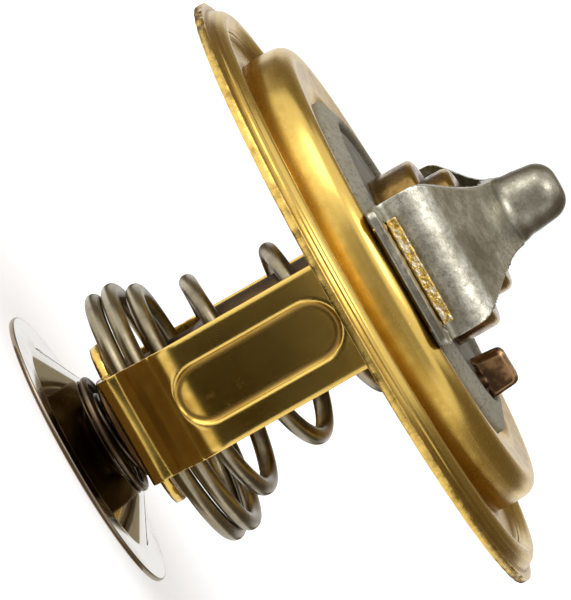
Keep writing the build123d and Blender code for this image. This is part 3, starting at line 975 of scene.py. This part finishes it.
def bypass_spring_path(size):
    """A turn that lies on the hub, then smaller ones that rise into the cup's pocket.

    The radius narrows by the eased part of the turns round the end of the first one, and the
    height rises by the eased part of all the turns after it.
    """
    low = size.small_base + size.small_wire / 2 + size.end_gap
    high = size.small_top - size.small_wire / 2 - size.end_gap
    turn = np.linspace(0, size.small_turns, int(size.small_turns * COIL_STEPS))
    narrows_from, narrows_for = 0.7, 0.6
    narrowing = eased((turn - narrows_from) / narrows_for)
    radius = size.small_foot + (size.small_head - size.small_foot) * narrowing
    radius -= size.small_wire / 2
    angle = math.pi / 2 + FULL_TURN * turn
    height = low + (high - low) * eased((turn - 1) / (size.small_turns - 1))
    return np.stack([radius * np.cos(angle), radius * np.sin(angle), height], axis=1)


def bypass_line(size):
    """Middle of the bypass disc's sheet from its bore to its edge, in radius and height."""
    land = size.hub_radius - size.hub_land
    level = size.hub_level - size.sheet / 2
    foot = level - size.cone_depth
    points = [
        (size.bore, level - size.dish),
        (land - 0.7 * MM, level - size.dish),
        (land, level),
        (size.hub_radius, level),
        (size.cone_radius, foot),
        (size.radius, foot),
    ]
    return rounded(points, np.array([0.35, 0.35, 0.4, 0.9]) * MM, 14)


# ------------------------------------------------------------------ operators


class VALVE_OT_flange(bpy.types.Operator):
    """Make the pressed flange"""

    bl_idname = "valve.flange"
    bl_label = "Flange"

    def execute(self, context):
        valve = context.scene.valve
        mesh = flange_mesh(valve.flange, valve.bracket)
        rim = float(node_box("flange")[1][0])
        brass = flange_finish(valve.finish, rim, rim - valve.flange.bead_inset)
        place_piece("flange_sheet", mesh, brass, "housing_side", "flange", WEAR_REACH)
        return {"FINISHED"}


class VALVE_OT_bracket(bpy.types.Operator):
    """Make the folded bracket with its staked leg ends"""

    bl_idname = "valve.bracket"
    bl_label = "Bracket"

    def execute(self, context):
        valve = context.scene.valve
        mesh = bracket_mesh(valve.bracket, valve.spring.base_level)
        low, high = node_box("bracket")
        stake_level = float(high[2] - valve.bracket.stake_height)
        brass = bracket_finish(valve.finish, float(low[2]), stake_level)
        place_piece("bracket_strip", mesh, brass,
                    "housing_side", "bracket", WEAR_REACH)
        return {"FINISHED"}


class VALVE_OT_bridge(bpy.types.Operator):
    """Make the pressed bridge with its cap"""

    bl_idname = "valve.bridge"
    bl_label = "Bridge"

    def execute(self, context):
        valve = context.scene.valve
        cap_height = 8 * MM
        steel = bridge_finish(valve.finish, float(node_box("bridge")[1][2] - cap_height))
        place_piece("bridge_strip", bridge_mesh(valve.bracket), steel,
                    "housing_side", "bridge", WEAR_REACH)
        return {"FINISHED"}


class VALVE_OT_disc(bpy.types.Operator):
    """Make the valve plate and its rubber seal"""

    bl_idname = "valve.disc"
    bl_label = "Valve disc"

    def execute(self, context):
        colours = context.scene.valve.finish
        steel = plain_metal("valve_plate_steel", colours.plate, (0.12, 0.11, 0.09),
                            (0.16, 0.13, 0.09), 0.5, 0.02 * MM, "rings", worn=1.0)
        place_piece("valve_plate_disc", softened_mesh("valve_plate", 0.3 * MM, 3), steel,
                    "element", "valve_plate", WEAR_REACH)
        rubber = rubber_finish("seal_rubber", colours.rubber, (0.34, 0.32, 0.27))
        place_piece("valve_seal_ring", softened_mesh("valve_seal", 0.25 * MM, 3), rubber,
                    "element", "valve_seal")
        return {"FINISHED"}


class VALVE_OT_element(bpy.types.Operator):
    """Make the wax element: head, cup, sleeve, wax and piston"""

    bl_idname = "valve.element"
    bl_label = "Wax element"

    def execute(self, context):
        colours = context.scene.valve.finish
        bronze = plain_metal("turned_brass", colours.bronze, colours.bronze_deep,
                             (0.09, 0.05, 0.018), 0.17, 0.003 * MM, "rings", worn=1.0, film_from=0.50)
        place_piece("element_head_turned", softened_mesh("element_head", 0.2 * MM, 5), bronze,
                    "element", "element_head", WEAR_REACH)
        drawn = plain_metal("drawn_brass", colours.cup, colours.cup_dark_and_painted_shade, (0.10, 0.06, 0.03),
                            0.30, 0.003 * MM, (1.0, 1.0, 0.06), worn=1.0)
        place_piece("wax_cup_drawn", softened_mesh("wax_cup", 0.26 * MM, 3), drawn,
                    "element", "wax_cup", WEAR_REACH)
        dress_node("rubber_sleeve", rubber_finish("sleeve_rubber", colours.sleeve, (0.05, 0.05, 0.05)))
        dress_node("wax_charge", wax_finish(colours))
        dress_node("piston", plain_metal("ground_steel", (0.72, 0.71, 0.69), (0.55, 0.54, 0.51),
                                         (0.35, 0.32, 0.27), 0.2, 0.002 * MM, "rings"))
        return {"FINISHED"}


def make_coil(name, path, wire, material, body, node, joint):
    """One spring along its coil's line, put in place of its node, with a mesh of its own."""
    points, faces = wire_surface(path, wire / 2, WIRE_SIDES)
    piece = place_piece(name, made_mesh(name, points, faces), material, body, node)
    low, high = node_box(node)
    keep = 1 - joint_travel(joint) / (high[2] - low[2])
    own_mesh(piece)


class VALVE_OT_springs(bpy.types.Operator):
    """Make the main spring and the bypass spring"""

    bl_idname = "valve.springs"
    bl_label = "Springs"

    def execute(self, context):
        valve = context.scene.valve
        size, colours = valve.spring, valve.finish
        drawn_lines = (1.0, 1.0, 3.0)
        wire = plain_metal("spring_wire", colours.wire, colours.wire_deep,
                           (0.16, 0.12, 0.08), 0.27, 0.004 * MM, drawn_lines)
        make_coil("main_spring_coil", main_spring_path(size), size.wire, wire, "housing_side",
                  "main_spring", "element_travel")
        small = plain_metal("small_spring_wire", colours.small_wire, colours.small_wire_deep,
                            (0.06, 0.04, 0.02), 0.30, 0.003 * MM, drawn_lines)
        make_coil("bypass_spring_coil", bypass_spring_path(size), size.small_wire, small, "element",
                  "bypass_spring", "bypass_travel")
        return {"FINISHED"}


class VALVE_OT_bypass(bpy.types.Operator):
    """Make the bypass disc, its stem and its clip"""

    bl_idname = "valve.bypass"
    bl_label = "Bypass valve"

    def execute(self, context):
        valve = context.scene.valve
        grid_step = 0.12 * MM
        end_round = 0.2 * MM
        clip_wear = 0.01 * MM
        loop = band(spaced(bypass_line(valve.bypass), grid_step), valve.bypass.sheet, end_round)
        mesh = made_mesh("bypass_disc_sheet", *turned(loop, valve.bypass.segments))
        place_piece("bypass_disc_sheet", mesh, mirror_finish(valve.finish, valve.bypass.radius),
                    "bypass_disc", "bypass_plate")
        steel = plain_metal("turned_steel", (0.56, 0.54, 0.50), (0.34, 0.32, 0.28),
                            (0.22, 0.18, 0.13), 0.32, 0.004 * MM, "rings")
        place_piece("bypass_stem_turned", softened_mesh("bypass_stem", 0.11 * MM, 3), steel,
                    "element", "bypass_stem")
        spring = plain_metal("clip_spring_steel", (0.42, 0.41, 0.39), (0.22, 0.21, 0.20),
                             (0.14, 0.12, 0.10), 0.36, 0.006 * MM, worn=1.0)
        place_piece("retaining_clip_stamped", softened_mesh("retaining_clip", 0.08 * MM, 3), spring,
                    "element", "retaining_clip", clip_wear)
        return {"FINISHED"}


class VALVE_OT_vent(bpy.types.Operator):
    """Make the loose vent pin"""

    bl_idname = "valve.vent"
    bl_label = "Vent pin"

    def execute(self, context):
        colours = context.scene.valve.finish
        pin_wear = 0.012 * MM
        copper = plain_metal("dulled_copper", colours.copper, colours.copper_deep,
                             (0.08, 0.045, 0.025), 0.34, 0.006 * MM, worn=1.0, film_from=0.42)
        place_piece("vent_pin_headed", softened_mesh("vent_pin", 0.09 * MM, 5), copper,
                    "vent", "vent_pin", pin_wear)
        return {"FINISHED"}


class VALVE_OT_stage(bpy.types.Operator):
    """Make the floor, the lights, the world and the camera"""

    bl_idname = "valve.stage"
    bl_label = "Stage"

    def execute(self, context):
        make_camera(context.scene.valve.stage)
        make_floor()
        make_lights()
        make_world()
        context.scene.view_settings.view_transform = "Standard"
        return {"FINISHED"}


# ------------------------------------------------------------------ stage


def make_camera(settings):
    """The picture's up and right are the valve's axis and its side, turned by the axis angle."""
    side, lift, turn = settings.azimuth, settings.elevation, settings.axis_angle
    forward = Vector((math.sin(side) * math.cos(lift), math.cos(side) * math.cos(lift),
                      -math.sin(lift)))
    level_right = Vector((math.cos(side), -math.sin(side), 0.0))
    level_up = level_right.cross(forward)
    right = math.cos(turn) * level_up + math.sin(turn) * level_right
    up = math.sin(turn) * level_up - math.cos(turn) * level_right
    data = bpy.data.cameras.new("camera")
    data.sensor_width = 36.0
    data.lens = data.sensor_width * settings.camera_distance / settings.frame_span
    data.clip_start, data.clip_end = 0.05, 10.0
    camera = linked("camera", data)
    camera.matrix_world = Matrix((
        (right.x, up.x, -forward.x, 0.0),
        (right.y, up.y, -forward.y, 0.0),
        (right.z, up.z, -forward.z, 0.0),
        (0.0, 0.0, 0.0, 1.0),
    ))
    camera.location = Vector(settings.aim) - forward * settings.camera_distance
    bpy.context.scene.camera = camera


def facing(place):
    """The matrix of something at a place whose -Z points at the valve's middle."""
    way = (Vector(VALVE_MIDDLE) - Vector(place)).normalized()
    return Matrix.Translation(place) @ way.to_track_quat("-Z", "Y").to_matrix().to_4x4()


def strength_for_views(tree, lit, viewed):
    """The viewed strength for camera, glossy and transmission rays, and the lit one for others."""
    path = tree.nodes.new("ShaderNodeLightPath")
    seen = path.outputs["Is Camera Ray"]
    for ray in ("Is Glossy Ray", "Is Transmission Ray"):
        both = tree.nodes.new("ShaderNodeMath")
        both.operation = "MAXIMUM"
        tree.links.new(seen, both.inputs[0])
        tree.links.new(path.outputs[ray], both.inputs[1])
        seen = both.outputs[0]
    strength = tree.nodes.new("ShaderNodeMapRange")
    strength.inputs["To Min"].default_value = lit
    strength.inputs["To Max"].default_value = viewed
    tree.links.new(seen, strength.inputs["Value"])
    return strength.outputs[0]


def quad(name, width, height, matrix, tint, glow):
    """A flat stage piece without gloss, with its middle at the matrix's place and a glow of its own."""
    x, y = width / 2, height / 2
    mesh = made_mesh(name, [(-x, -y, 0), (x, -y, 0), (x, y, 0), (-x, y, 0)], [(0, 1, 2, 3)])
    mesh.transform(matrix)
    material = bpy.data.materials.new(name)
    material.use_nodes = True
    shader = material.node_tree.nodes["Principled BSDF"]
    shader.inputs["Base Color"].default_value = opaque(tint)
    shader.inputs["Specular IOR Level"].default_value = 0.0
    shader.inputs["Emission Color"].default_value = opaque(glow)
    shader.inputs["Emission Strength"].default_value = 1.0
    mesh.materials.append(material)
    piece = linked(name, mesh)
    return piece, material.node_tree, shader


def make_floor():
    """One large pale plane under the lowest point, which looks white and keeps its shadow."""
    width = 6.0
    viewed_glow = 0.50
    level = Matrix.Translation((0, 0, FLOOR_LEVEL))
    _, tree, shader = quad("floor", width, width, level, (0.80, 0.80, 0.80), (1, 1, 1))
    tree.links.new(strength_for_views(tree, 0.0, viewed_glow), shader.inputs["Emission Strength"])


def make_lamp(name, place, size, radiance):
    """A square soft lamp that faces the valve; radiance is how bright it looks."""
    data = bpy.data.lights.new(name, "AREA")
    data.shape = "SQUARE"
    data.size = size
    data.energy = math.pi * size * size * radiance
    linked(name, data).matrix_world = facing(place)


def make_mat(name, near, far, width, shade):
    """A dark mat that lies on the floor between two places along Y."""
    place = (0, (near + far) / 2, FLOOR_LEVEL + 0.1 * MM)
    lay_card(name, Matrix.Translation(place), width, far - near, shade)


def make_card(name, place, width, height, shade):
    """A dark card that stands and faces the valve."""
    lay_card(name, facing(place), width, height, shade)


def lay_card(name, matrix, width, height, shade):
    """A card that only reflections see."""
    card, _, _ = quad(name, width, height, matrix, (0, 0, 0), shade)
    card.visible_camera = False
    card.visible_diffuse = False
    card.visible_shadow = False
    card.visible_transmission = False


def make_lights():
    """Two soft lamps, the dark things of a studio that the metal reflects, and a brown mat of painted
    shade under the valve.
    """
    make_lamp("key_lamp", (-0.50, -0.22, 0.16), 0.30, 2.6)
    make_lamp("top_lamp", (-0.10, -0.27, 0.50), 0.26, 4.2)
    dark = (0.035, 0.030, 0.022)
    make_card("low_card", (0.004, -0.11, -0.0205), 0.066, 0.025, dark)
    make_mat("front_mat", -0.15, -0.055, 0.10, dark)
    # Painted shade: a brown mat on the floor under the flange, seen only in reflections, stands for the
    # floor in the valve's shadow.
    make_mat("floor_shade_mat", -0.036, -0.008, 0.06, (0.13, 0.085, 0.035))
    make_mat("back_mat", 0.055, 0.26, 0.36, (0.17, 0.13, 0.075))
    make_card("front_card", (0.05, -0.50, 0.0), 0.80, 0.44, (0.36, 0.345, 0.32))
    make_card("back_card", (0.0, 0.25, -0.026), 0.50, 0.012, (0.10, 0.085, 0.06))
    make_card("right_card", (0.32, 0.10, 0.18), 0.62, 0.58, (0.16, 0.13, 0.09))
    make_card("left_card", (-0.28, 0.24, 0.13), 0.28, 0.44, (0.20, 0.16, 0.10))
    make_card("upper_card", (0.0, 0.38, 0.276), 0.90, 0.34, (0.30, 0.25, 0.16))


def make_world():
    """An even white surround, a little brighter to look at than it lights."""
    lit, viewed = 0.75, 1.0
    world = bpy.data.worlds.new("studio")
    bpy.context.scene.world = world
    world.use_nodes = True
    background = world.node_tree.nodes["Background"]
    background.inputs["Color"].default_value = (1, 1, 1, 1)
    strength = strength_for_views(world.node_tree, lit, viewed)
    world.node_tree.links.new(strength, background.inputs["Strength"])


# ------------------------------------------------------------------ add-on


class ValveSettings(bpy.types.PropertyGroup):
    """All settings of the valve"""

    flange: bpy.props.PointerProperty(type=FlangeSettings)
    bracket: bpy.props.PointerProperty(type=BracketSettings)
    spring: bpy.props.PointerProperty(type=SpringSettings)
    bypass: bpy.props.PointerProperty(type=BypassSettings)
    finish: bpy.props.PointerProperty(type=FinishSettings)
    stage: bpy.props.PointerProperty(type=StageSettings)


OPERATORS = (VALVE_OT_stage, VALVE_OT_flange, VALVE_OT_bracket, VALVE_OT_bridge, VALVE_OT_disc,
             VALVE_OT_element, VALVE_OT_springs, VALVE_OT_bypass, VALVE_OT_vent)


class VALVE_PT_panel(bpy.types.Panel):
    """Lists the pieces and the stage"""

    bl_label = "Coolant Valve"
    bl_idname = "VALVE_PT_panel"
    bl_space_type = "VIEW_3D"
    bl_region_type = "UI"
    bl_category = "Coolant Valve"

    def draw(self, context):
        for operator in OPERATORS:
            self.layout.operator(operator.bl_idname)


CLASSES = (FlangeSettings, BracketSettings, SpringSettings, BypassSettings, FinishSettings,
           StageSettings, ValveSettings, *OPERATORS, VALVE_PT_panel)


def register():
    for item in CLASSES:
        bpy.utils.register_class(item)
    bpy.types.Scene.valve = bpy.props.PointerProperty(type=ValveSettings)


def unregister():
    del bpy.types.Scene.valve
    for item in reversed(CLASSES):
        bpy.utils.unregister_class(item)


def main():
    """Makes every piece."""
    register()
    bpy.ops.valve.stage()
    bpy.ops.valve.flange()
    bpy.ops.valve.bracket()
    bpy.ops.valve.bridge()
    bpy.ops.valve.disc()
    bpy.ops.valve.element()
    bpy.ops.valve.springs()
    bpy.ops.valve.bypass()
    bpy.ops.valve.vent()


if __name__ == "__main__":
    main()
